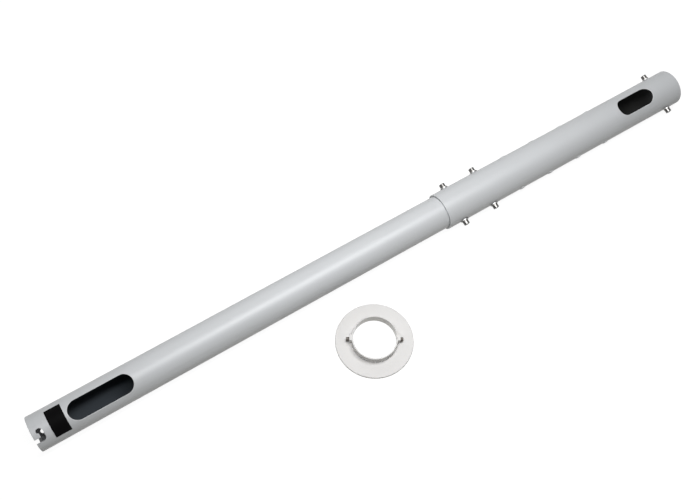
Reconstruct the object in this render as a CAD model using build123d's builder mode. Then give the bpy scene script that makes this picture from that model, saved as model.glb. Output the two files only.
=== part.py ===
"""Telescopic ceiling pole for a projector, lying level, with its ceiling trim ring set down beside it.

The X axis is the pole's own axis. The origin is on it between the two screws of the ceiling end, and the pole
runs from there towards -X down to the projector end. Z is up, and -Y is the side that the trim ring lies on.
"""
import os
from math import cos, radians, sin

from build123d import *

os.makedirs("parts", exist_ok=True)

# Tubes: the inner pipe follows from the outer one, its wall and the sliding clearance
outer_dia = 54.0
wall = 2.3
slide_clearance = 0.4
inner_dia = outer_dia - 2 * wall - 2 * slide_clearance
outer_r = outer_dia / 2
outer_bore_r = outer_r - wall
inner_r = inner_dia / 2
inner_bore_r = inner_r - wall
edge_break = 0.5

# Along the pole: tapped holes on one pitch, of which the first two hold the joint's screws
hole_pitch = 52.0
hole_count = 6
used_holes = 2
first_hole = 25.5
past_last_screw = 29.5
end_hole_from_end = 24.5
outer_length = 432.0
inner_length = 720.0
overlap = first_hole + (used_holes - 1) * hole_pitch + past_last_screw
ceiling_end_x = end_hole_from_end
outer_low_x = ceiling_end_x - outer_length
inner_top_x = outer_low_x + overlap
projector_end_x = inner_top_x - inner_length
row_x = [outer_low_x + first_hole + i * hole_pitch for i in range(hole_count)]
joint_screw_x = row_x[:used_holes]
end_screw_x = [ceiling_end_x - end_hole_from_end]

# Round the pole: degrees from straight up, growing towards -Y
outer_turn = 10.0
inner_turn = 18.5
screw_turns = (outer_turn + 90.0, outer_turn - 90.0)

# Mouth of the ceiling end, bored out to a round size for the spigot of the ceiling plate
mouth_depth = 45.0
mouth_step = 0.3
mouth_r = outer_bore_r + mouth_step

# Cable slots, one in each pipe
slot_width = 26.0
outer_slot_length = 63.5
outer_slot_from_end = 49.0
inner_slot_length = 87.0
inner_slot_from_end = 48.0
slot_edge_break = 0.4

# Bayonet hooks at the projector end: in at the entry, round the channel, back down into the seat, which is in
# line with the cable slot. Each is punched square to the pipe's radius at its middle.
hook_width = 5.8
hook_channel_from_end = 11.2
hook_seat_from_end = 8.6
hook_corner = 4.8
hook_tongue_corner = 0.9
hook_twist = 27.0
hook_turn = inner_turn + hook_twist / 2
hook_offset = inner_r * sin(radians(hook_twist / 2))
hook_near = hook_channel_from_end - hook_width / 2
hook_far = hook_channel_from_end + hook_width / 2
hook_sides = (0.0, 180.0)

# Blank label on the inner pipe, on a thin film of glue
label_length = 20.8
label_arc = 92.0
label_thickness = 0.2
label_glue = 0.05
label_from_end = 23.5
label_r = inner_r + label_glue

# Clamp screws M5, each with a plain and a spring washer on the flat raised rim of its tapped hole
thread_dia = 5.0
thread_gap = 0.05
thread_mouth = 0.4
rim_dia = 8.5
rim_height = 0.6
rim_root = 1.2
head_dia = 8.5
head_height = 5.0
head_edge = 0.5
socket_flats = 4.0
socket_depth = 2.6
tip_back = 0.1
tip_chamfer = 0.5
joint_washer_dia = 12.0
end_washer_dia = 10.0
plain_washer_bore = 5.4
plain_washer_height = 0.8
spring_washer_dia = 8.8
spring_washer_bore = 5.4
spring_washer_height = 1.2
spring_washer_split = 0.9
spring_washer_turn = 35.0

# Stack of a clamp screw, counted out from the pole's axis
seat_r = outer_r + rim_height
spring_seat_r = seat_r + plain_washer_height
head_seat_r = spring_seat_r + spring_washer_height
tip_r = mouth_r + tip_back

# Trim ring: flat flange and thin collar with two bosses for its set screws
ring_dia = 106.5
ring_bore_r = 29.5
ring_flange = 2.5
ring_height = 14.0
collar_wall = 1.8
boss_width = 8.4
boss_reach = 34.5
boss_corner = 1.2
flange_edge = 1.0
collar_edge = 0.5
collar_root = 0.8
ring_from_end = 435.0
ring_x = projector_end_x + ring_from_end
ring_y = -107.7
ring_turn = -31.5
floor_z = -outer_r

# Set screws M4 of the trim ring
set_thread_dia = 4.0
set_head_dia = 5.5
set_head_height = 4.0
set_head_edge = 0.4
set_socket_flats = 3.0
set_socket_depth = 2.0
set_screw_height = 6.5
set_tip_back = 0.5


def facing(turn, height=0.0, x=0.0):
    """Plane square to the pole's radius at that turn: local x along the pole, z pointing outwards."""
    out = Vector(0, -sin(radians(turn)), cos(radians(turn)))
    return Plane(origin=Vector(x, 0, 0) + out * height, x_dir=(1, 0, 0), z_dir=out)


def section(turn, x=0.0):
    """Plane through the pole's axis at that turn: local x along the pole, y pointing outwards."""
    flat = facing(turn, x=x)
    return Plane(origin=flat.origin, x_dir=flat.x_dir, z_dir=-flat.y_dir)


def along(xs):
    """Points along the pole on a facing plane."""
    return [(x, 0) for x in xs]


# Outer pipe: tube with raised rims round its tapped holes, and the cable slot of the ceiling end
with BuildPart() as outer_pipe:
    with BuildSketch(Plane.YZ.offset(outer_low_x)):
        Circle(outer_r)
    extrude(amount=outer_length)
    for turn in screw_turns:
        with BuildSketch(facing(turn, seat_r)):
            with Locations(*along(row_x + end_screw_x)):
                Circle(rim_dia / 2)
        extrude(amount=-rim_root)
    with BuildSketch(Plane.YZ.offset(outer_low_x)):
        Circle(outer_bore_r)
    extrude(amount=outer_length, mode=Mode.SUBTRACT)
    with BuildSketch(Plane.YZ.offset(ceiling_end_x)):
        Circle(mouth_r)
    extrude(amount=-mouth_depth, mode=Mode.SUBTRACT)
    ends = outer_pipe.faces().filter_by(Axis.X).sort_by(Axis.X)
    fillet((ends.first + ends.last).edges(), edge_break)
    slot_plane = facing(outer_turn)
    with BuildSketch(slot_plane):
        with Locations((ceiling_end_x - outer_slot_from_end - outer_slot_length / 2, 0)):
            SlotOverall(outer_slot_length, slot_width)
    extrude(amount=outer_dia, mode=Mode.SUBTRACT)
    slot_radius = Axis(slot_plane.origin, slot_plane.z_dir)
    fillet(outer_pipe.edges(Select.LAST).filter_by(slot_radius, reverse=True), slot_edge_break)
    with BuildSketch(facing(screw_turns[0])):
        with Locations(*along(row_x + end_screw_x)):
            Circle(thread_dia / 2)
    extrude(amount=outer_dia, both=True, mode=Mode.SUBTRACT)
    chamfer(outer_pipe.edges(Select.LAST).filter_by(GeomType.CIRCLE), thread_mouth)
outer_pipe.part.label = "outer_pipe"

# Inner pipe: tube with the cable slot and two bayonet hooks of the projector end
with BuildPart() as inner_pipe:
    with BuildSketch(Plane.YZ.offset(projector_end_x)):
        Circle(inner_r)
        Circle(inner_bore_r, mode=Mode.SUBTRACT)
    extrude(amount=inner_length)
    fillet(inner_pipe.faces().filter_by(Axis.X).edges(), edge_break)
    slot_plane = facing(inner_turn, x=projector_end_x)
    with BuildSketch(slot_plane):
        with Locations((inner_slot_from_end + inner_slot_length / 2, 0)):
            SlotOverall(inner_slot_length, slot_width)
    extrude(amount=inner_dia, mode=Mode.SUBTRACT)
    slot_radius = Axis(slot_plane.origin, slot_plane.z_dir)
    fillet(inner_pipe.edges(Select.LAST).filter_by(slot_radius, reverse=True), slot_edge_break)
    for side in hook_sides:
        with BuildSketch(facing(hook_turn + side, x=projector_end_x)) as hook_outline:
            with BuildLine():
                Polyline(
                    (-hook_width, -hook_offset - hook_width / 2),
                    (hook_far, -hook_offset - hook_width / 2),
                    (hook_far, hook_offset + hook_width / 2),
                    (hook_seat_from_end, hook_offset + hook_width / 2),
                    (hook_seat_from_end, hook_offset),
                    (hook_near, hook_offset),
                    (hook_near, -hook_offset + hook_width / 2),
                    (-hook_width, -hook_offset + hook_width / 2),
                    close=True,
                )
            make_face()
            fillet(hook_outline.vertices().group_by(Axis.X)[-1], hook_corner)
            with Locations((hook_seat_from_end, hook_offset)):
                Circle(hook_width / 2)
            fillet(hook_outline.vertices().group_by(Axis.X)[1], hook_tongue_corner)
        extrude(amount=inner_dia, mode=Mode.SUBTRACT)
inner_pipe.part.label = "inner_pipe"

# Blank label: thin sheet wrapped round the inner pipe between its end and the cable slot
with BuildPart() as blank_label:
    with BuildSketch(section(inner_turn - label_arc / 2, x=projector_end_x)):
        with Locations((label_from_end + label_length / 2, label_r + label_thickness / 2)):
            Rectangle(label_length, label_thickness)
    revolve(axis=Axis.X, revolution_arc=label_arc)
blank_label.part.label = "blank_label"

# One clamp screw and its washers, wider at the joint than at the end, standing along Z with z counted out from
# the pole's axis
with BuildPart() as clamp_screw:
    shank_r = thread_dia / 2 - thread_gap
    head_top = head_seat_r + head_height
    with BuildSketch(Plane.XZ):
        with BuildLine():
            Polyline(
                (0, tip_r),
                (shank_r - tip_chamfer, tip_r),
                (shank_r, tip_r + tip_chamfer),
                (shank_r, head_seat_r),
                (head_dia / 2, head_seat_r),
                (head_dia / 2, head_top),
                (0, head_top),
                close=True,
            )
        make_face()
    revolve(axis=Axis.Z)
    fillet(clamp_screw.edges().group_by(Axis.Z)[-1], head_edge)
    with BuildSketch(Plane.XY.offset(head_top)):
        RegularPolygon(socket_flats / 2, side_count=6, major_radius=False)
    extrude(amount=-socket_depth, mode=Mode.SUBTRACT)

with BuildPart() as joint_washer:
    with BuildSketch(Plane.XY.offset(seat_r)):
        Circle(joint_washer_dia / 2)
        Circle(plain_washer_bore / 2, mode=Mode.SUBTRACT)
    extrude(amount=plain_washer_height)

with BuildPart() as end_washer:
    with BuildSketch(Plane.XY.offset(seat_r)):
        Circle(end_washer_dia / 2)
        Circle(plain_washer_bore / 2, mode=Mode.SUBTRACT)
    extrude(amount=plain_washer_height)

with BuildPart() as spring_washer:
    with BuildSketch(Plane.XY.offset(spring_seat_r)):
        Circle(spring_washer_dia / 2)
        Circle(spring_washer_bore / 2, mode=Mode.SUBTRACT)
        Rectangle(
            spring_washer_dia,
            spring_washer_split,
            rotation=spring_washer_turn,
            align=(Align.MIN, Align.CENTER),
            mode=Mode.SUBTRACT,
        )
    extrude(amount=spring_washer_height)

# The sets at the sliding joint
joint_places = [facing(turn, x=x) for turn in screw_turns for x in joint_screw_x]
with BuildPart() as joint_screws:
    with Locations(*joint_places):
        add(clamp_screw.part)
joint_screws.part.label = "joint_screws"

with BuildPart() as joint_washers:
    with Locations(*joint_places):
        add(joint_washer.part)
joint_washers.part.label = "joint_washers"

with BuildPart() as joint_spring_washers:
    with Locations(*joint_places):
        add(spring_washer.part)
joint_spring_washers.part.label = "joint_spring_washers"

# The sets at the ceiling end
end_places = [facing(turn, x=x) for turn in screw_turns for x in end_screw_x]
with BuildPart() as end_screws:
    with Locations(*end_places):
        add(clamp_screw.part)
end_screws.part.label = "end_screws"

with BuildPart() as end_washers:
    with Locations(*end_places):
        add(end_washer.part)
end_washers.part.label = "end_washers"

with BuildPart() as end_spring_washers:
    with Locations(*end_places):
        add(spring_washer.part)
end_spring_washers.part.label = "end_spring_washers"

# Trim ring: flange flat on the floor, thin collar standing up, a boss each side for a set screw
ring_plane = Plane(
    origin=(ring_x, ring_y, floor_z),
    x_dir=(cos(radians(ring_turn)), sin(radians(ring_turn)), 0),
    z_dir=(0, 0, 1),
)
with BuildPart() as trim_ring:
    with BuildSketch(ring_plane):
        Circle(ring_dia / 2)
    extrude(amount=ring_flange)
    fillet(trim_ring.edges().group_by(Axis.Z)[-1], flange_edge)
    with BuildSketch(ring_plane.offset(ring_flange)) as collar_outline:
        Circle(ring_bore_r + collar_wall)
        Rectangle(2 * boss_reach, boss_width)
        boss_corners = collar_outline.vertices().sort_by_distance((0, 0, 0))[-4:]
        fillet(boss_corners, boss_corner)
    extrude(amount=ring_height - ring_flange)
    flange_top = trim_ring.faces().filter_by(Axis.Z).sort_by(SortBy.AREA)[-2]
    fillet(flange_top.inner_wires().edges(), collar_root)
    with BuildSketch(ring_plane):
        Circle(ring_bore_r)
    extrude(amount=ring_height, mode=Mode.SUBTRACT)
    fillet(trim_ring.edges().group_by(Axis.Z)[-1], collar_edge)
    with BuildSketch(Plane(ring_plane.origin, x_dir=ring_plane.y_dir, z_dir=ring_plane.x_dir)):
        with Locations((0, set_screw_height)):
            Circle(set_thread_dia / 2)
    extrude(amount=ring_dia / 2 - flange_edge, both=True, mode=Mode.SUBTRACT)
trim_ring.part.label = "trim_ring"

# One set screw along Z, with z counted out from the ring's axis, and the pair in the ring's bosses
with BuildPart() as set_screw:
    set_shank_r = set_thread_dia / 2 - thread_gap
    set_head_top = boss_reach + set_head_height
    with BuildSketch(Plane.XZ):
        with BuildLine():
            Polyline(
                (0, ring_bore_r + set_tip_back),
                (set_shank_r - tip_chamfer, ring_bore_r + set_tip_back),
                (set_shank_r, ring_bore_r + set_tip_back + tip_chamfer),
                (set_shank_r, boss_reach),
                (set_head_dia / 2, boss_reach),
                (set_head_dia / 2, set_head_top),
                (0, set_head_top),
                close=True,
            )
        make_face()
    revolve(axis=Axis.Z)
    fillet(set_screw.edges().group_by(Axis.Z)[-1], set_head_edge)
    with BuildSketch(Plane.XY.offset(set_head_top)):
        RegularPolygon(set_socket_flats / 2, side_count=6, major_radius=False)
    extrude(amount=-set_socket_depth, mode=Mode.SUBTRACT)

set_axis = ring_plane.offset(set_screw_height)
with BuildPart() as ring_screws:
    with Locations(
        Plane(set_axis.origin, x_dir=set_axis.y_dir, z_dir=set_axis.x_dir),
        Plane(set_axis.origin, x_dir=set_axis.y_dir, z_dir=-set_axis.x_dir),
    ):
        add(set_screw.part)
ring_screws.part.label = "ring_screws"

for piece in (
    outer_pipe,
    inner_pipe,
    blank_label,
    joint_screws,
    joint_washers,
    joint_spring_washers,
    end_screws,
    end_washers,
    end_spring_washers,
    trim_ring,
    ring_screws,
):
    export_step(piece.part, f"parts/{piece.part.label}.step")
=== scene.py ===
# %% [markdown]
# # A telescopic projector pole and its trim ring
# The pole is two silver-grey steel tubes, one sliding in the other, with cable slots, clamp screws and a blank
# black label. A round plastic ring that later hides the hole in the ceiling lies beside it. The rigid shapes come
# ready made from the CAD model, so this script gives them their finishes, cuts the fine threads that the CAD model
# leaves plain, and sets up the floor, the light and the camera of the photograph.

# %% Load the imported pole
import math

import bpy
import numpy as np
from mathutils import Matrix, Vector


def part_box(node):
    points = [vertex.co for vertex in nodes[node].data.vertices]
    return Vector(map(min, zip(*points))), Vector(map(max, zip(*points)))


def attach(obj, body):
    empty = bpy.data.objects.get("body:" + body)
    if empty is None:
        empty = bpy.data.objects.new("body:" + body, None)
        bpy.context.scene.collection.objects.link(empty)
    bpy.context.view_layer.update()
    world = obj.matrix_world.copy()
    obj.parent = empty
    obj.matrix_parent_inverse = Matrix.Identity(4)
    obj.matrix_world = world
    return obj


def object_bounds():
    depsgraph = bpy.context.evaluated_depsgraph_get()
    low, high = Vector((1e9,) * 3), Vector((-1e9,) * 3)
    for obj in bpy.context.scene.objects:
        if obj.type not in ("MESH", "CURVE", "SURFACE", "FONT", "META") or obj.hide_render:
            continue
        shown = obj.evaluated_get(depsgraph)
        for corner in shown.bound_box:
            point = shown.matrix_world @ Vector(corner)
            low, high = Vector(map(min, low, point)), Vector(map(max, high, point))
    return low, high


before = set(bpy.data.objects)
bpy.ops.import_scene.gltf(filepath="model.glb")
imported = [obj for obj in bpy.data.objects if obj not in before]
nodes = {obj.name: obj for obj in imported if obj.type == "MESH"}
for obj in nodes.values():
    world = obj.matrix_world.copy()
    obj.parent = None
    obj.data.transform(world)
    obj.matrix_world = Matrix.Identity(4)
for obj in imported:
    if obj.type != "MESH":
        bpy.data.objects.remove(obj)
cad_low, cad_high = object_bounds()
print("nodes", sorted(nodes), "box", [round(v, 4) for v in cad_high - cad_low])

# %% [markdown]
# ## Measures
# Both tubes run along the X axis, and a tube's radius is half its height. Such sizes could be typed in, but reading
# them from the loaded nodes keeps every finish in place when the CAD model changes. Only the turns can't be read
# from a box: each tube lies as it rolled, and its turn is the angle of its slot from straight up towards -Y.

# %% Read the tubes' sizes
outer_low, outer_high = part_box("outer_pipe")
inner_low, inner_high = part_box("inner_pipe")
outer_r = outer_high.z
outer_turn = math.radians(10.0)
inner_turn = math.radians(18.5)
print("outer radius", round(outer_r, 5), "inner radius", round(inner_high.z, 5))

# %% [markdown]
# ## Shader helpers
# A finish is a small graph of shader nodes, each of which takes numbers or colours in and hands one on. Wiring a
# node by hand takes four lines, so these helpers add one node, fill in its inputs and hand back its output, and a
# formula then reads almost as it does on paper.

# %% Helpers for sums and distances
def feed(tree, socket, term):
    """Fills an input with a number or colour, or links it to another node's output."""
    if isinstance(term, bpy.types.NodeSocket):
        tree.links.new(term, socket)
    else:
        socket.default_value = term


def calc(tree, operation, *terms):
    """One Math node: the operation on up to three terms."""
    node = tree.nodes.new("ShaderNodeMath")
    node.operation = operation
    for socket, term in zip(node.inputs, terms):
        feed(tree, socket, term)
    return node.outputs[0]


def distance(tree, first, second):
    """The square root of first squared plus second squared."""
    squared = calc(tree, "MULTIPLY", second, second)
    return calc(tree, "SQRT", calc(tree, "MULTIPLY_ADD", first, first, squared))


def split_xyz(tree, position):
    """The X, Y and Z of a position."""
    node = tree.nodes.new("ShaderNodeSeparateXYZ")
    tree.links.new(position, node.inputs[0])
    return node.outputs


print("helpers:", ", ".join(made.__name__ for made in (feed, calc, distance, split_xyz)))

# %% Helpers for masks, noise and blends
def ramp(tree, value, low, high):
    """0 below low, 1 above high and a smooth S between them."""
    node = tree.nodes.new("ShaderNodeMapRange")
    node.interpolation_type = "SMOOTHSTEP"
    feed(tree, node.inputs["Value"], value)
    feed(tree, node.inputs["From Min"], low)
    feed(tree, node.inputs["From Max"], high)
    return node.outputs["Result"]


def cloud(tree, position, grain, detail=2.0):
    """Noise whose lumps are about grain metres across, from 0 to 1."""
    node = tree.nodes.new("ShaderNodeTexNoise")
    node.inputs["Scale"].default_value = 1.0 / grain
    node.inputs["Detail"].default_value = detail
    tree.links.new(position, node.inputs["Vector"])
    return node.outputs["Fac"]


def between(tree, share, first, second, kind="FLOAT"):
    """The first number where share is 0, the second where it is 1, and in proportion between them."""
    node = tree.nodes.new("ShaderNodeMix")
    node.data_type = kind
    feed(tree, node.inputs["Factor"], share)
    feed(tree, node.inputs["A"], first)
    feed(tree, node.inputs["B"], second)
    return node.outputs["Result"]


def blend_colour(tree, share, first, second):
    """The first colour where share is 0, the second where it is 1, and a blend between them."""
    return between(tree, share, first, second, "RGBA")


print("helpers:", ", ".join(made.__name__ for made in (ramp, cloud, between, blend_colour)))

# %% [markdown]
# ## Shared surface effects
# Several finishes need the same few effects: the fine grain of a sprayed coat, the rim of a cut slot that carries a
# painted highlight, and the turning marks on a screw. Each could be wired anew in every material, but then a change
# has to be made several times. So each is one node group with named inputs, built once and placed in every material
# that needs it with its own values.

# %% Start a node group
def new_group(name, inputs, outputs):
    """An empty shader group with a Position input and the named numbers as inputs and outputs."""
    group = bpy.data.node_groups.new(name, "ShaderNodeTree")
    group.interface.new_socket(name="Position", in_out="INPUT", socket_type="NodeSocketVector")
    for way, labels in (("INPUT", inputs), ("OUTPUT", outputs)):
        for label in labels:
            group.interface.new_socket(name=label, in_out=way, socket_type="NodeSocketFloat")
    given = group.nodes.new("NodeGroupInput").outputs
    result = group.nodes.new("NodeGroupOutput").inputs
    return group, given, result


print("helper:", new_group.__name__)

# %% [markdown]
# Paint from a spray gun dries with a fine waviness like orange peel, its metal flakes show as tiny specks, and its
# tone drifts slowly along the work. A picture laid over the tube could show that, but it has to be unwrapped and
# it blurs close up. Three layers of noise at the real sizes of peel, flake and drift look right from any distance.

# %% Sprayed coat: peel, flake and slow drift of tone
peel_size = 0.0022
flake_size = 0.0005
patch_size = 0.09
flake_relief = 0.35
coat_group, given, result = new_group("sprayed_coat", ("Drift", "Flake"), ("Tone", "Height", "Patch"))
peel = cloud(coat_group, given["Position"], peel_size)
flake = cloud(coat_group, given["Position"], flake_size, detail=1.0)
patch = cloud(coat_group, given["Position"], patch_size)
drifted = calc(coat_group, "MULTIPLY_ADD", calc(coat_group, "SUBTRACT", patch, 0.5), given["Drift"], 1.0)
tone = calc(coat_group, "MULTIPLY_ADD", calc(coat_group, "SUBTRACT", flake, 0.5), given["Flake"], drifted)
feed(coat_group, result["Tone"], tone)
feed(coat_group, result["Height"], calc(coat_group, "MULTIPLY_ADD", flake, flake_relief, peel))
feed(coat_group, result["Patch"], patch)
print("group", coat_group.name, len(coat_group.nodes), "nodes")

# %% [markdown]
# Round a slot the light catches the sharp edge as a thin light line. Here that is a painted highlight: the colour is
# lightened along the rim. It could be painted by hand, but a slot is a stadium: every point of its edge is the same
# distance from a straight middle line. So the distance to the edge has a short formula, the distance from that
# middle line less half the width, and a mask that fades over about a millimetre on either side of zero marks the rim.
# The slot is turned round the tube, so the measures are taken along turned axes.

# %% Rim of a cable slot, where the painted highlight lies
def turned_axes(tree, y, z, turn):
    """Y and Z along axes turned about X: y cos turn + z sin turn, and z cos turn - y sin turn."""
    cosine = calc(tree, "COSINE", turn)
    sine = calc(tree, "SINE", turn)
    side = calc(tree, "MULTIPLY_ADD", y, cosine, calc(tree, "MULTIPLY", z, sine))
    up = calc(tree, "SUBTRACT", calc(tree, "MULTIPLY", z, cosine), calc(tree, "MULTIPLY", y, sine))
    return side, up


upper_fade = 0.004
rim_group, given, result = new_group("slot_rim", ("Centre", "Straight", "Half Width", "Turn", "Reach"), ("Rim",))
x, y, z = split_xyz(rim_group, given["Position"])
side, up = turned_axes(rim_group, y, z, given["Turn"])
along = calc(rim_group, "ABSOLUTE", calc(rim_group, "SUBTRACT", x, given["Centre"]))
past = calc(rim_group, "MAXIMUM", calc(rim_group, "SUBTRACT", along, given["Straight"]), 0.0)
from_line = distance(rim_group, past, side)
gap = calc(rim_group, "ABSOLUTE", calc(rim_group, "SUBTRACT", from_line, given["Half Width"]))
near = calc(rim_group, "SUBTRACT", 1.0, ramp(rim_group, gap, 0.0, given["Reach"]))
upper = ramp(rim_group, up, 0.0, upper_fade)
feed(rim_group, result["Rim"], calc(rim_group, "MULTIPLY", near, upper))
print("group", rim_group.name, len(rim_group.nodes), "nodes")

# %% [markdown]
# A screw head is turned in a lathe, which leaves rings round its axis that are too fine to model. The clamp screws
# stand square to the turned tube at one pitch along X, so a pattern for each screw would repeat itself. Folding X
# by that pitch brings them all onto one axis, and the distance from it drives the rings.

# %% Turning marks round the clamp screws
ring_waves = 21000.0
lathe_group, given, result = new_group("turning_marks", ("First", "Pitch", "Turn"), ("Rings",))
x, y, z = split_xyz(lathe_group, given["Position"])
along, across = turned_axes(lathe_group, y, z, given["Turn"])
moved = calc(lathe_group, "MULTIPLY_ADD", given["Pitch"], 0.5, calc(lathe_group, "SUBTRACT", x, given["First"]))
folded = calc(lathe_group, "FLOORED_MODULO", moved, given["Pitch"])
folded = calc(lathe_group, "MULTIPLY_ADD", given["Pitch"], -0.5, folded)
radius = distance(lathe_group, folded, across)
way_out = calc(lathe_group, "ADD", radius, calc(lathe_group, "ABSOLUTE", along))
turned = calc(lathe_group, "SINE", calc(lathe_group, "MULTIPLY", way_out, ring_waves))
feed(lathe_group, result["Rings"], calc(lathe_group, "MULTIPLY_ADD", turned, 0.5, 0.5))
print("group", lathe_group.name, len(lathe_group.nodes), "nodes")
print("rings", round(2000 * math.pi / ring_waves, 2), "mm apart")

# %% [markdown]
# ## Starting a material
# Every finish has the same skeleton: a Principled shader, object coordinates to place its patterns in metres, and a
# Bump node for what is too fine to model. Setting that up by hand for each finish invites slips, so one function
# starts a material and another puts it on the CAD nodes.

# %% Start a material and dress nodes with it
def new_finish(name, metallic=0.0):
    """A material with its node tree, its shader and the position output in metres."""
    material = bpy.data.materials.new(name)
    material.use_nodes = True
    tree = material.node_tree
    shader = tree.nodes["Principled BSDF"]
    shader.inputs["Metallic"].default_value = metallic
    position = tree.nodes.new("ShaderNodeTexCoord").outputs["Object"]
    return material, tree, shader, position


def dress(material, *names):
    """Puts a finish on CAD nodes."""
    for name in names:
        for slot in nodes[name].material_slots:
            slot.material = material
    print(material.name, "on", ", ".join(names))


print("helpers:", new_finish.__name__, "and", dress.__name__)

# %% Place a group, a bump and a shaded colour in a material
def use_group(tree, group, position, **values):
    """Places a group, fills its named inputs and hands back its outputs."""
    node = tree.nodes.new("ShaderNodeGroup")
    node.node_tree = group
    tree.links.new(position, node.inputs["Position"])
    for label, value in values.items():
        feed(tree, node.inputs[label.replace("_", " ")], value)
    return node.outputs


def bump(tree, shader, height, depth):
    """Feeds a height from 0 to 1, worth depth metres, into the shader's normal."""
    node = tree.nodes.new("ShaderNodeBump")
    node.inputs["Strength"].default_value = 1.0
    node.inputs["Distance"].default_value = depth
    tree.links.new(height, node.inputs["Height"])
    tree.links.new(node.outputs["Normal"], shader.inputs["Normal"])


def scale_colour(tree, colour, tone):
    """A colour times a tone that changes over the surface."""
    node = tree.nodes.new("ShaderNodeVectorMath")
    node.operation = "SCALE"
    feed(tree, node.inputs[0], colour)
    feed(tree, node.inputs["Scale"], tone)
    return node.outputs[0]


print("helpers:", ", ".join(made.__name__ for made in (use_group, bump, scale_colour)))

# %% [markdown]
# ## Silver-grey coat of the tubes
# The tubes are sprayed with a satin silver-grey coat. It could be one flat colour, but the real coat has its peel,
# flake and drift, and along the edges of the slots a painted highlight lightens it to a thin line. The spray covers
# the outside and the cut ends, and a mist of it drifts into the open mouths and thins out. Deeper in, the tube stays
# dull raw steel, whose colour is darkened further as painted shade of the unlit inside. So the distance from the
# tube's axis and from its ends chooses between coat and raw wall, and the two tubes share one function.

# %% Colours and depths of the coat
coat_colour = (0.585, 0.6, 0.615)
coat_drift, coat_flake = 0.05, 0.13
coat_smooth, coat_rough = 0.4, 0.5
coat_metallic = 0.04
coat_relief = 0.00004
bare_depth, coat_depth = 0.0010, 0.0006
# Painted highlight: the pale colour and the share by which the slot's rim is lightened where light catches its edge.
rim_highlight_colour = (0.74, 0.75, 0.76, 1.0)
rim_highlight_share, rim_reach = 0.6, 0.0012
raw_roughness = 0.95
slot_width = 0.026
print("coat goes", round(coat_depth * 1000, 2), "mm into a cut edge")
# The painted highlight spreads rim_reach on either side of a slot's edge.
print("coat thins", round(rim_reach * 1000, 2), "mm on either side of a slot's edge")

# %% Coat and raw bore of a tube
def tube_finish(name, low, high, raw_and_shade_colour, mist_reach, slot_centre, slot_length, slot_turn):
    """Coat on the outside, thinning by e over each mist_reach into the bore, with a painted highlight round the slot.
    """
    material, tree, shader, position = new_finish(name)
    coat = use_group(tree, coat_group, position, Drift=coat_drift, Flake=coat_flake)
    rim = use_group(tree, rim_group, position, Centre=slot_centre, Straight=(slot_length - slot_width) / 2,
                    Half_Width=slot_width / 2, Turn=slot_turn, Reach=rim_reach)
    x, y, z = split_xyz(tree, position)
    outside = ramp(tree, distance(tree, y, z), high.z - bare_depth, high.z - coat_depth)
    from_end = calc(tree, "MINIMUM", calc(tree, "SUBTRACT", x, low.x), calc(tree, "SUBTRACT", high.x, x))
    mist = calc(tree, "EXPONENT", calc(tree, "DIVIDE", from_end, -mist_reach))
    coated = calc(tree, "MAXIMUM", outside, mist)
    silver = scale_colour(tree, coat_colour, coat["Tone"])
    # Painted highlight: the slot's rim is lightened towards the pale highlight colour.
    silver = blend_colour(tree, calc(tree, "MULTIPLY", rim["Rim"], rim_highlight_share), silver, rim_highlight_colour)
    # The bore's colour is partly dark raw steel and partly painted shade of the unlit inside of the tube.
    raw_and_shade = scale_colour(tree, raw_and_shade_colour, coat["Tone"])
    satin = between(tree, coat["Patch"], coat_smooth, coat_rough)
    feed(tree, shader.inputs["Base Color"], blend_colour(tree, coated, raw_and_shade, silver))
    feed(tree, shader.inputs["Roughness"], between(tree, coated, raw_roughness, satin))
    feed(tree, shader.inputs["Metallic"], calc(tree, "MULTIPLY", coated, coat_metallic))
    bump(tree, shader, coat["Height"], coat_relief)
    return material


print("helper:", tube_finish.__name__)

# %% Coat both tubes
# Bore colour of the outer tube: dark raw steel, darkened further as painted shade of its unlit inside.
outer_raw_and_shade, outer_mist = (0.0042, 0.0044, 0.0039), 0.008
outer_slot, outer_slot_from_end = 0.0635, 0.049
outer_slot_x = outer_high.x - outer_slot_from_end - outer_slot / 2
outer_coat = tube_finish("outer_pipe_coat", outer_low, outer_high, outer_raw_and_shade, outer_mist,
                         outer_slot_x, outer_slot, outer_turn)
dress(outer_coat, "outer_pipe")
# Bore colour of the inner tube: dark raw steel, darkened as painted shade of its unlit inside.
inner_raw_and_shade, inner_mist = (0.027, 0.034, 0.0415), 0.011
inner_slot, inner_slot_from_end = 0.087, 0.048
inner_slot_x = inner_low.x + inner_slot_from_end + inner_slot / 2
inner_coat = tube_finish("inner_pipe_coat", inner_low, inner_high, inner_raw_and_shade, inner_mist,
                         inner_slot_x, inner_slot, inner_turn)
dress(inner_coat, "inner_pipe")
print("slots centred at x", round(outer_slot_x, 5), "and", round(inner_slot_x, 5))

# %% [markdown]
# ## Blank label
# A thin black film with a light gloss is stuck round the tube between its end and the slot. A flat black would do
# from afar, but film on sprayed metal is faintly uneven, and its cut edges show as a slightly paler line. So noise
# moves its gloss and its surface, and the distance from its middle finds the two edges.

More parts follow.
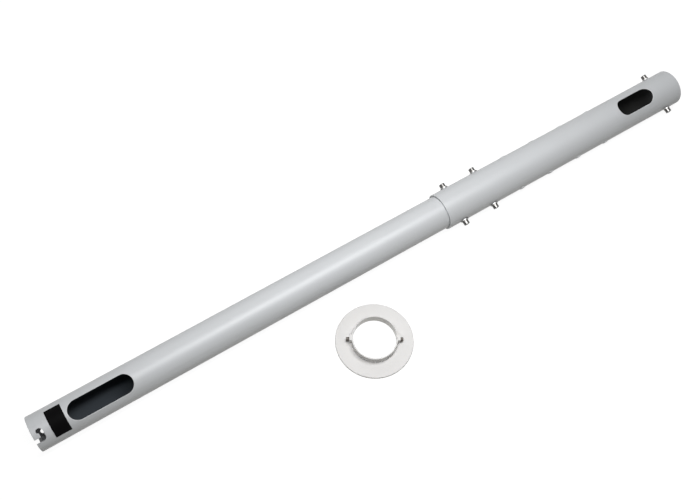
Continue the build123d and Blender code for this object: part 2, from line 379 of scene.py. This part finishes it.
# %% Black label film
film_black, film_gloss = (0.0025, 0.0024, 0.0026), 0.03
film_smooth, film_rough = 0.4, 0.6
cut_colour, cut_width = (0.012, 0.012, 0.013, 1.0), 0.0004
wave_size, wave_height = 0.006, 0.00005
speck_size, speck_dark, speck_light = 0.0007, 0.7, 1.3
film, tree, shader, position = new_finish("black_label_film")
shader.inputs["Specular IOR Level"].default_value = film_gloss
label_low, label_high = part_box("blank_label")
middle = (label_low.x + label_high.x) / 2
half_label = (label_high.x - label_low.x) / 2
x, y, z = split_xyz(tree, position)
from_middle = calc(tree, "ABSOLUTE", calc(tree, "SUBTRACT", x, middle))
cut = ramp(tree, from_middle, half_label - cut_width, half_label)
wave = cloud(tree, position, wave_size)
speck = cloud(tree, position, speck_size)
black = scale_colour(tree, film_black, between(tree, speck, speck_dark, speck_light))
feed(tree, shader.inputs["Base Color"], blend_colour(tree, cut, black, cut_colour))
feed(tree, shader.inputs["Roughness"], between(tree, wave, film_smooth, film_rough))
bump(tree, shader, wave, wave_height)
dress(film, "blank_label")
print("label", round(2000 * half_label, 2), "mm along the tube")

# %% [markdown]
# ## Clamp screws
# The clamp screws are socket head screws of dark plated steel. A grey paint could stand in for the plating, but only
# a metal mirrors the white surround as the bright stripe along each head and stays dark beside it. The turning marks
# and a little cloudiness in the gloss keep it from looking like glass.

# %% Where the screws stand
head_r = 0.00425
end_first = 0.0
joint_low, joint_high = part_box("joint_screws")
joint_first = joint_low.x + head_r
hole_pitch = joint_high.x - head_r - joint_first
print("first joint screw at x", round(joint_first, 5), "and holes", round(hole_pitch * 1000, 2), "mm apart")

# %% Dark plated screws
plate_colour = (0.11, 0.108, 0.105)
plate_smooth, plate_rough = 0.08, 0.16
haze_size = 0.003
mark_dark, mark_depth = 0.94, 0.000004


def plated_finish(name, first):
    """Dark plating with turning marks about screws from first onwards, and a slightly cloudy gloss."""
    material, tree, shader, position = new_finish(name, metallic=1.0)
    marks = use_group(tree, lathe_group, position, First=first, Pitch=hole_pitch, Turn=outer_turn)
    haze = cloud(tree, position, haze_size)
    plate = scale_colour(tree, plate_colour, between(tree, marks["Rings"], mark_dark, 1.0))
    feed(tree, shader.inputs["Base Color"], plate)
    feed(tree, shader.inputs["Roughness"], between(tree, haze, plate_smooth, plate_rough))
    bump(tree, shader, marks["Rings"], mark_depth)
    return material


dress(plated_finish("plated_joint_screw", joint_first), "joint_screws")
dress(plated_finish("plated_end_screw", end_first), "end_screws")

# %% [markdown]
# ## Washers and set screws
# The plain washers are stamped from zinc plated sheet, the split spring washers on them are darker hardened steel,
# and the ring's set screws are blackened. Each could have a graph of its own, but they differ only in colour, gloss
# and how much they are bare metal, so one function of those makes all of them. The grain is the same group as in
# the coat, only stronger.

# %% Zinc washers, hardened spring washers and black set screws
metal_drift, metal_grain = 0.25, 0.3
metal_cloud_size = 0.002
grain_depth = 0.00001


def worn_metal(name, colour, smooth, rough, metallic):
    """Metal whose roughness clouds between smooth and rough, with a fine grain."""
    material, tree, shader, position = new_finish(name, metallic)
    coat = use_group(tree, coat_group, position, Drift=metal_drift, Flake=metal_grain)
    haze = cloud(tree, position, metal_cloud_size)
    feed(tree, shader.inputs["Base Color"], scale_colour(tree, colour, coat["Tone"]))
    feed(tree, shader.inputs["Roughness"], between(tree, haze, smooth, rough))
    bump(tree, shader, coat["Height"], grain_depth)
    return material


zinc = worn_metal("zinc_washer", (0.36, 0.355, 0.35), smooth=0.2, rough=0.36, metallic=1.0)
hardened = worn_metal("hardened_washer", (0.14, 0.135, 0.13), smooth=0.22, rough=0.4, metallic=1.0)
blackened = worn_metal("black_set_screw", (0.1, 0.088, 0.078), smooth=0.35, rough=0.55, metallic=0.5)
dress(zinc, "joint_washers", "end_washers")
dress(hardened, "joint_spring_washers", "end_spring_washers")
dress(blackened, "ring_screws")

# %% [markdown]
# ## Warm white ring
# The ring is moulded in warm white plastic. Its outside has the satin grain of the mould, and its bore is smooth from
# the polished core, so the distance from its axis chooses the gloss. Plain white paint would look hard, because real
# plastic lets light in a little and softens thin edges. A small share of subsurface light gives that.

# %% Moulded plastic of the trim ring
ring_colour = (0.71, 0.70, 0.69)
ring_drift, ring_flake = 0.04, 0.03
ring_smooth, ring_rough = 0.38, 0.52
ring_grain_depth = 0.000025
bore_r, bore_polish = 0.0295, 0.25
bore_wall, grain_starts = bore_r + 0.0002, bore_r + 0.0005
moulded, tree, shader, position = new_finish("warm_white_plastic")
ring_low, ring_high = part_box("trim_ring")
x, y, z = split_xyz(tree, position)
ring_x = calc(tree, "SUBTRACT", x, (ring_low.x + ring_high.x) / 2)
ring_y = calc(tree, "SUBTRACT", y, (ring_low.y + ring_high.y) / 2)
outside_bore = ramp(tree, distance(tree, ring_x, ring_y), bore_wall, grain_starts)
coat = use_group(tree, coat_group, position, Drift=ring_drift, Flake=ring_flake)
grained = between(tree, coat["Patch"], ring_smooth, ring_rough)
polish = between(tree, outside_bore, bore_polish, 1.0)
feed(tree, shader.inputs["Base Color"], scale_colour(tree, ring_colour, coat["Tone"]))
feed(tree, shader.inputs["Roughness"], calc(tree, "MULTIPLY", grained, polish))
shader.inputs["Subsurface Weight"].default_value = 0.15
shader.inputs["Subsurface Radius"].default_value = (0.0034, 0.0032, 0.0029)
shader.inputs["Subsurface Scale"].default_value = 1.0
bump(tree, shader, coat["Height"], ring_grain_depth)
dress(moulded, "trim_ring")

# %% [markdown]
# ## Threads in the spare holes
# The outer tube has spare tapped holes for other lengths of the pole. The CAD model leaves them as plain bores, so
# their threads are made here. A thread could be a profile swept along a helix, but inside a hole it is simpler to
# take a tube of radius r and let r dip once per turn: the depth depends on the height less the angle's share of the
# pitch, which is what makes a helix. The inner and the outer side together are one closed sleeve.

# %% Sizes of a spare hole
hole_r, sleeve_gap = 0.0025, 0.00002
sleeve_r = hole_r - sleeve_gap
thread_depth = 0.0004
thread_pitch = 0.0008
sleeve_low = outer_r - 0.0018
sleeve_high = outer_r - 0.0001
print("each hole has", round((sleeve_high - sleeve_low) / thread_pitch, 2), "turns of thread")

# %% Helical sleeve on a grid of angle and section
def thread_sleeve(centre, outward, steps_round=64, rows=44):
    """Closed sleeve in a hole that points along outward from the pole's axis.

    Inner side: radius = sleeve_r - thread_depth * ridge(height / thread_pitch - angle / 2 pi), where ridge is a
    triangle wave from 0 to 1 that fades out at both mouths. Outer side: radius = sleeve_r, back from the high end to
    the low end.
    """
    angle = np.linspace(0.0, 2.0 * np.pi, steps_round, endpoint=False)[:, None]
    height = np.linspace(sleeve_low, sleeve_high, rows)[None, :]
    phase = np.mod(height / thread_pitch - angle / (2.0 * np.pi), 1.0)
    ridge = 1.0 - np.abs(2.0 * phase - 1.0)
    fade = np.clip(np.minimum(height - sleeve_low, sleeve_high - height) / (0.5 * thread_pitch), 0.0, 1.0)
    inner = sleeve_r - thread_depth * ridge * fade
    outer = np.full((steps_round, 2), sleeve_r)
    radius = np.hstack([inner, outer])
    back_down = np.broadcast_to([[sleeve_high, sleeve_low]], outer.shape)
    level = np.hstack([np.broadcast_to(height, inner.shape), back_down])
    across = np.array([1.0, 0.0, 0.0])
    third = np.cross(outward, across)
    points = (np.asarray(centre) + (radius * np.cos(angle))[..., None] * across
              + (radius * np.sin(angle))[..., None] * third + level[..., None] * np.asarray(outward))
    index = np.arange(radius.size).reshape(radius.shape)
    right = np.roll(index, -1, axis=0)
    faces = np.stack([index, np.roll(index, -1, axis=1), np.roll(right, -1, axis=1), right], axis=-1)
    return points.reshape(-1, 3), faces.reshape(-1, 4)


print("helper:", thread_sleeve.__name__)

# %% Sleeves for the eight spare holes
def add_object(name, data):
    """An object at the origin that shows a mesh, a lamp or a camera."""
    thing = bpy.data.objects.new(name, data)
    bpy.context.scene.collection.objects.link(thing)
    return thing


spare_holes = np.arange(2, 6)  # holes 0 and 1 hold the joint's screws
spare_x = joint_first + hole_pitch * spare_holes
near_side = np.array([0.0, -math.cos(outer_turn), -math.sin(outer_turn)])
points, faces = [], []
for x in spare_x:
    for outward in (near_side, -near_side):
        sleeve, quads = thread_sleeve((x, 0.0, 0.0), outward)
        faces.append(quads + sum(len(made) for made in points))
        points.append(sleeve)
thread_mesh = bpy.data.meshes.new("spare_hole_threads")
thread_mesh.from_pydata(np.vstack(points), [], np.vstack(faces).tolist())
thread_mesh.validate()
cut_steel = worn_metal("cut_thread_steel", (0.3, 0.3, 0.305), smooth=0.3, rough=0.5, metallic=1.0)
thread_mesh.materials.append(cut_steel)
threads = add_object("spare_hole_threads", thread_mesh)
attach(threads, "outer")
print("threads:", len(thread_mesh.vertices), "points,", len(thread_mesh.polygons), "faces")

# %% [markdown]
# ## White floor
# The photograph is a cut-out on pure white. A white floor under plain light is only as white as the light on it, and
# more light would wash out the pole. So what the camera sees of the floor, straight or mirrored in metal, gets a glow
# of its own, while the light that bounces back up to the pole is that of an ordinary pale floor. The glow is not
# quite full, so the soft shadows stay.

# %% Which rays show a background
def showing_rays(tree):
    """1 for rays that show the camera a background, straight, mirrored or through glass, and 0 for other light."""
    rays = tree.nodes.new("ShaderNodeLightPath").outputs
    mirrored = calc(tree, "MAXIMUM", rays["Is Glossy Ray"], rays["Is Transmission Ray"])
    return calc(tree, "MAXIMUM", rays["Is Camera Ray"], mirrored)


background = 0.95
print("background strength", background)

# %% Floor under the pole
floor_gap = 0.0002
floor_z = cad_low.z - floor_gap
reach, middle_x = 6.0, -0.5
corners = [(middle_x + a * reach, b * reach, floor_z) for a, b in ((-1, -1), (1, -1), (1, 1), (-1, 1))]
floor_mesh = bpy.data.meshes.new("studio_floor")
floor_mesh.from_pydata(corners, [], [(0, 1, 2, 3)])
floor = add_object("studio_floor", floor_mesh)
print("floor at z", round(floor_z, 5), "and", 2 * reach, "m wide")

# %% Pale floor that glows where it is seen
bouncing, shown = (0.5, 0.49, 0.445, 1.0), (0.15, 0.15, 0.15, 1.0)
floor_finish = bpy.data.materials.new("studio_white")
floor_finish.use_nodes = True
tree = floor_finish.node_tree
tree.nodes.remove(tree.nodes["Principled BSDF"])
seen = showing_rays(tree)
matt = tree.nodes.new("ShaderNodeBsdfDiffuse")
glow = tree.nodes.new("ShaderNodeEmission")
both = tree.nodes.new("ShaderNodeAddShader")
feed(tree, matt.inputs["Color"], blend_colour(tree, seen, bouncing, shown))
feed(tree, glow.inputs["Strength"], calc(tree, "MULTIPLY", seen, background))
tree.links.new(matt.outputs[0], both.inputs[0])
tree.links.new(glow.outputs[0], both.inputs[1])
tree.links.new(both.outputs[0], tree.nodes["Material Output"].inputs["Surface"])
floor_mesh.materials.append(floor_finish)
print(floor_finish.name, "on", floor.name)

# %% [markdown]
# ## Soft lights
# In the photograph both tubes are lightest along the top and shade off softly down their sides, as under broad lamps.
# One large lamp could do that, but it would light both tubes alike, and the thinner tube has the narrower highlight.
# So a narrow strip hangs over the thinner tube, a softbox over the thicker one, and a weak, wide one behind fills in
# the far side.

# %% Three softboxes
def stand_at(thing, place, across, back):
    """Puts a lamp or camera at place with its X along across and its back along back, and its Y square to both."""
    axes = np.eye(4)
    axes[:3, 0] = across
    axes[:3, 1] = np.cross(back, across)
    axes[:3, 2] = back
    axes[:3, 3] = place
    thing.matrix_world = axes.T


def softbox(name, place, target, width, depth, power):
    """A rectangular lamp at place that faces target."""
    lamp = bpy.data.lights.new(name, "AREA")
    lamp.shape = "RECTANGLE"
    lamp.size = width
    lamp.size_y = depth
    lamp.energy = power
    back = np.asarray(place) - np.asarray(target)
    back /= np.linalg.norm(back)
    across = np.cross((0.0, 1.0, 0.0), back)
    stand_at(add_object(name, lamp), place, across / np.linalg.norm(across), back)
    print(name, "at", place, power, "W")


softbox("strip_light", (-0.79, -0.09, 0.9), (-0.79, 0.0, 0.0), width=0.55, depth=0.12, power=3.85)
softbox("overhead_softbox", (-0.3, -0.06, 0.95), (-0.3, 0.0, 0.0), width=0.5, depth=0.35, power=5.9)
softbox("back_softbox", (-0.42, 0.9, 0.6), (-0.42, 0.0, 0.0), width=1.2, depth=0.6, power=2.1)

# %% [markdown]
# ## White surround
# Above the floor's edge the picture is white too, and the plated screws mirror that white. A bright world would also
# light the pole from all sides and flatten it. So the world shows white to the camera and in mirrors, as the floor
# does, and gives almost no light of its own.

# %% World that shows white
air_light = 0.01
world = bpy.data.worlds.new("studio_air")
bpy.context.scene.world = world
world.use_nodes = True
tree = world.node_tree
air = tree.nodes["Background"]
air.inputs["Color"].default_value = (1.0, 1.0, 1.0, 1.0)
feed(tree, air.inputs["Strength"], between(tree, showing_rays(tree), air_light, background))
print("world lights with", air_light, "and shows", background)

# %% [markdown]
# ## Camera
# A camera could be nudged by eye until the picture looks right. This one was worked out from the outlines of the two
# tubes, their ends, the screws and the ring in the photograph, so that every piece falls in its place: where it
# stands, which way it looks, and a focal length of 889 pixels on a picture 700 pixels wide.

# %% Place the camera
focal_pixels, picture_pixels = 888.9, 700.0
stand = np.array([-0.87843, -0.42481, 1.10236])
forward = np.array([0.26753, 0.35692, -0.89501])
to_right = np.array([0.84663, -0.53058, 0.04148])
forward /= np.linalg.norm(forward)
to_right -= forward * (to_right @ forward)
to_right /= np.linalg.norm(to_right)
lens = bpy.data.cameras.new("photo_camera")
lens.sensor_fit = "HORIZONTAL"
lens.sensor_width = 36.0
lens.lens = focal_pixels / picture_pixels * lens.sensor_width
viewer = add_object("photo_camera", lens)
stand_at(viewer, stand, to_right, -forward)
bpy.context.scene.camera = viewer
bpy.context.scene.view_settings.view_transform = "Standard"
print("camera lens", round(lens.lens, 2), "mm")
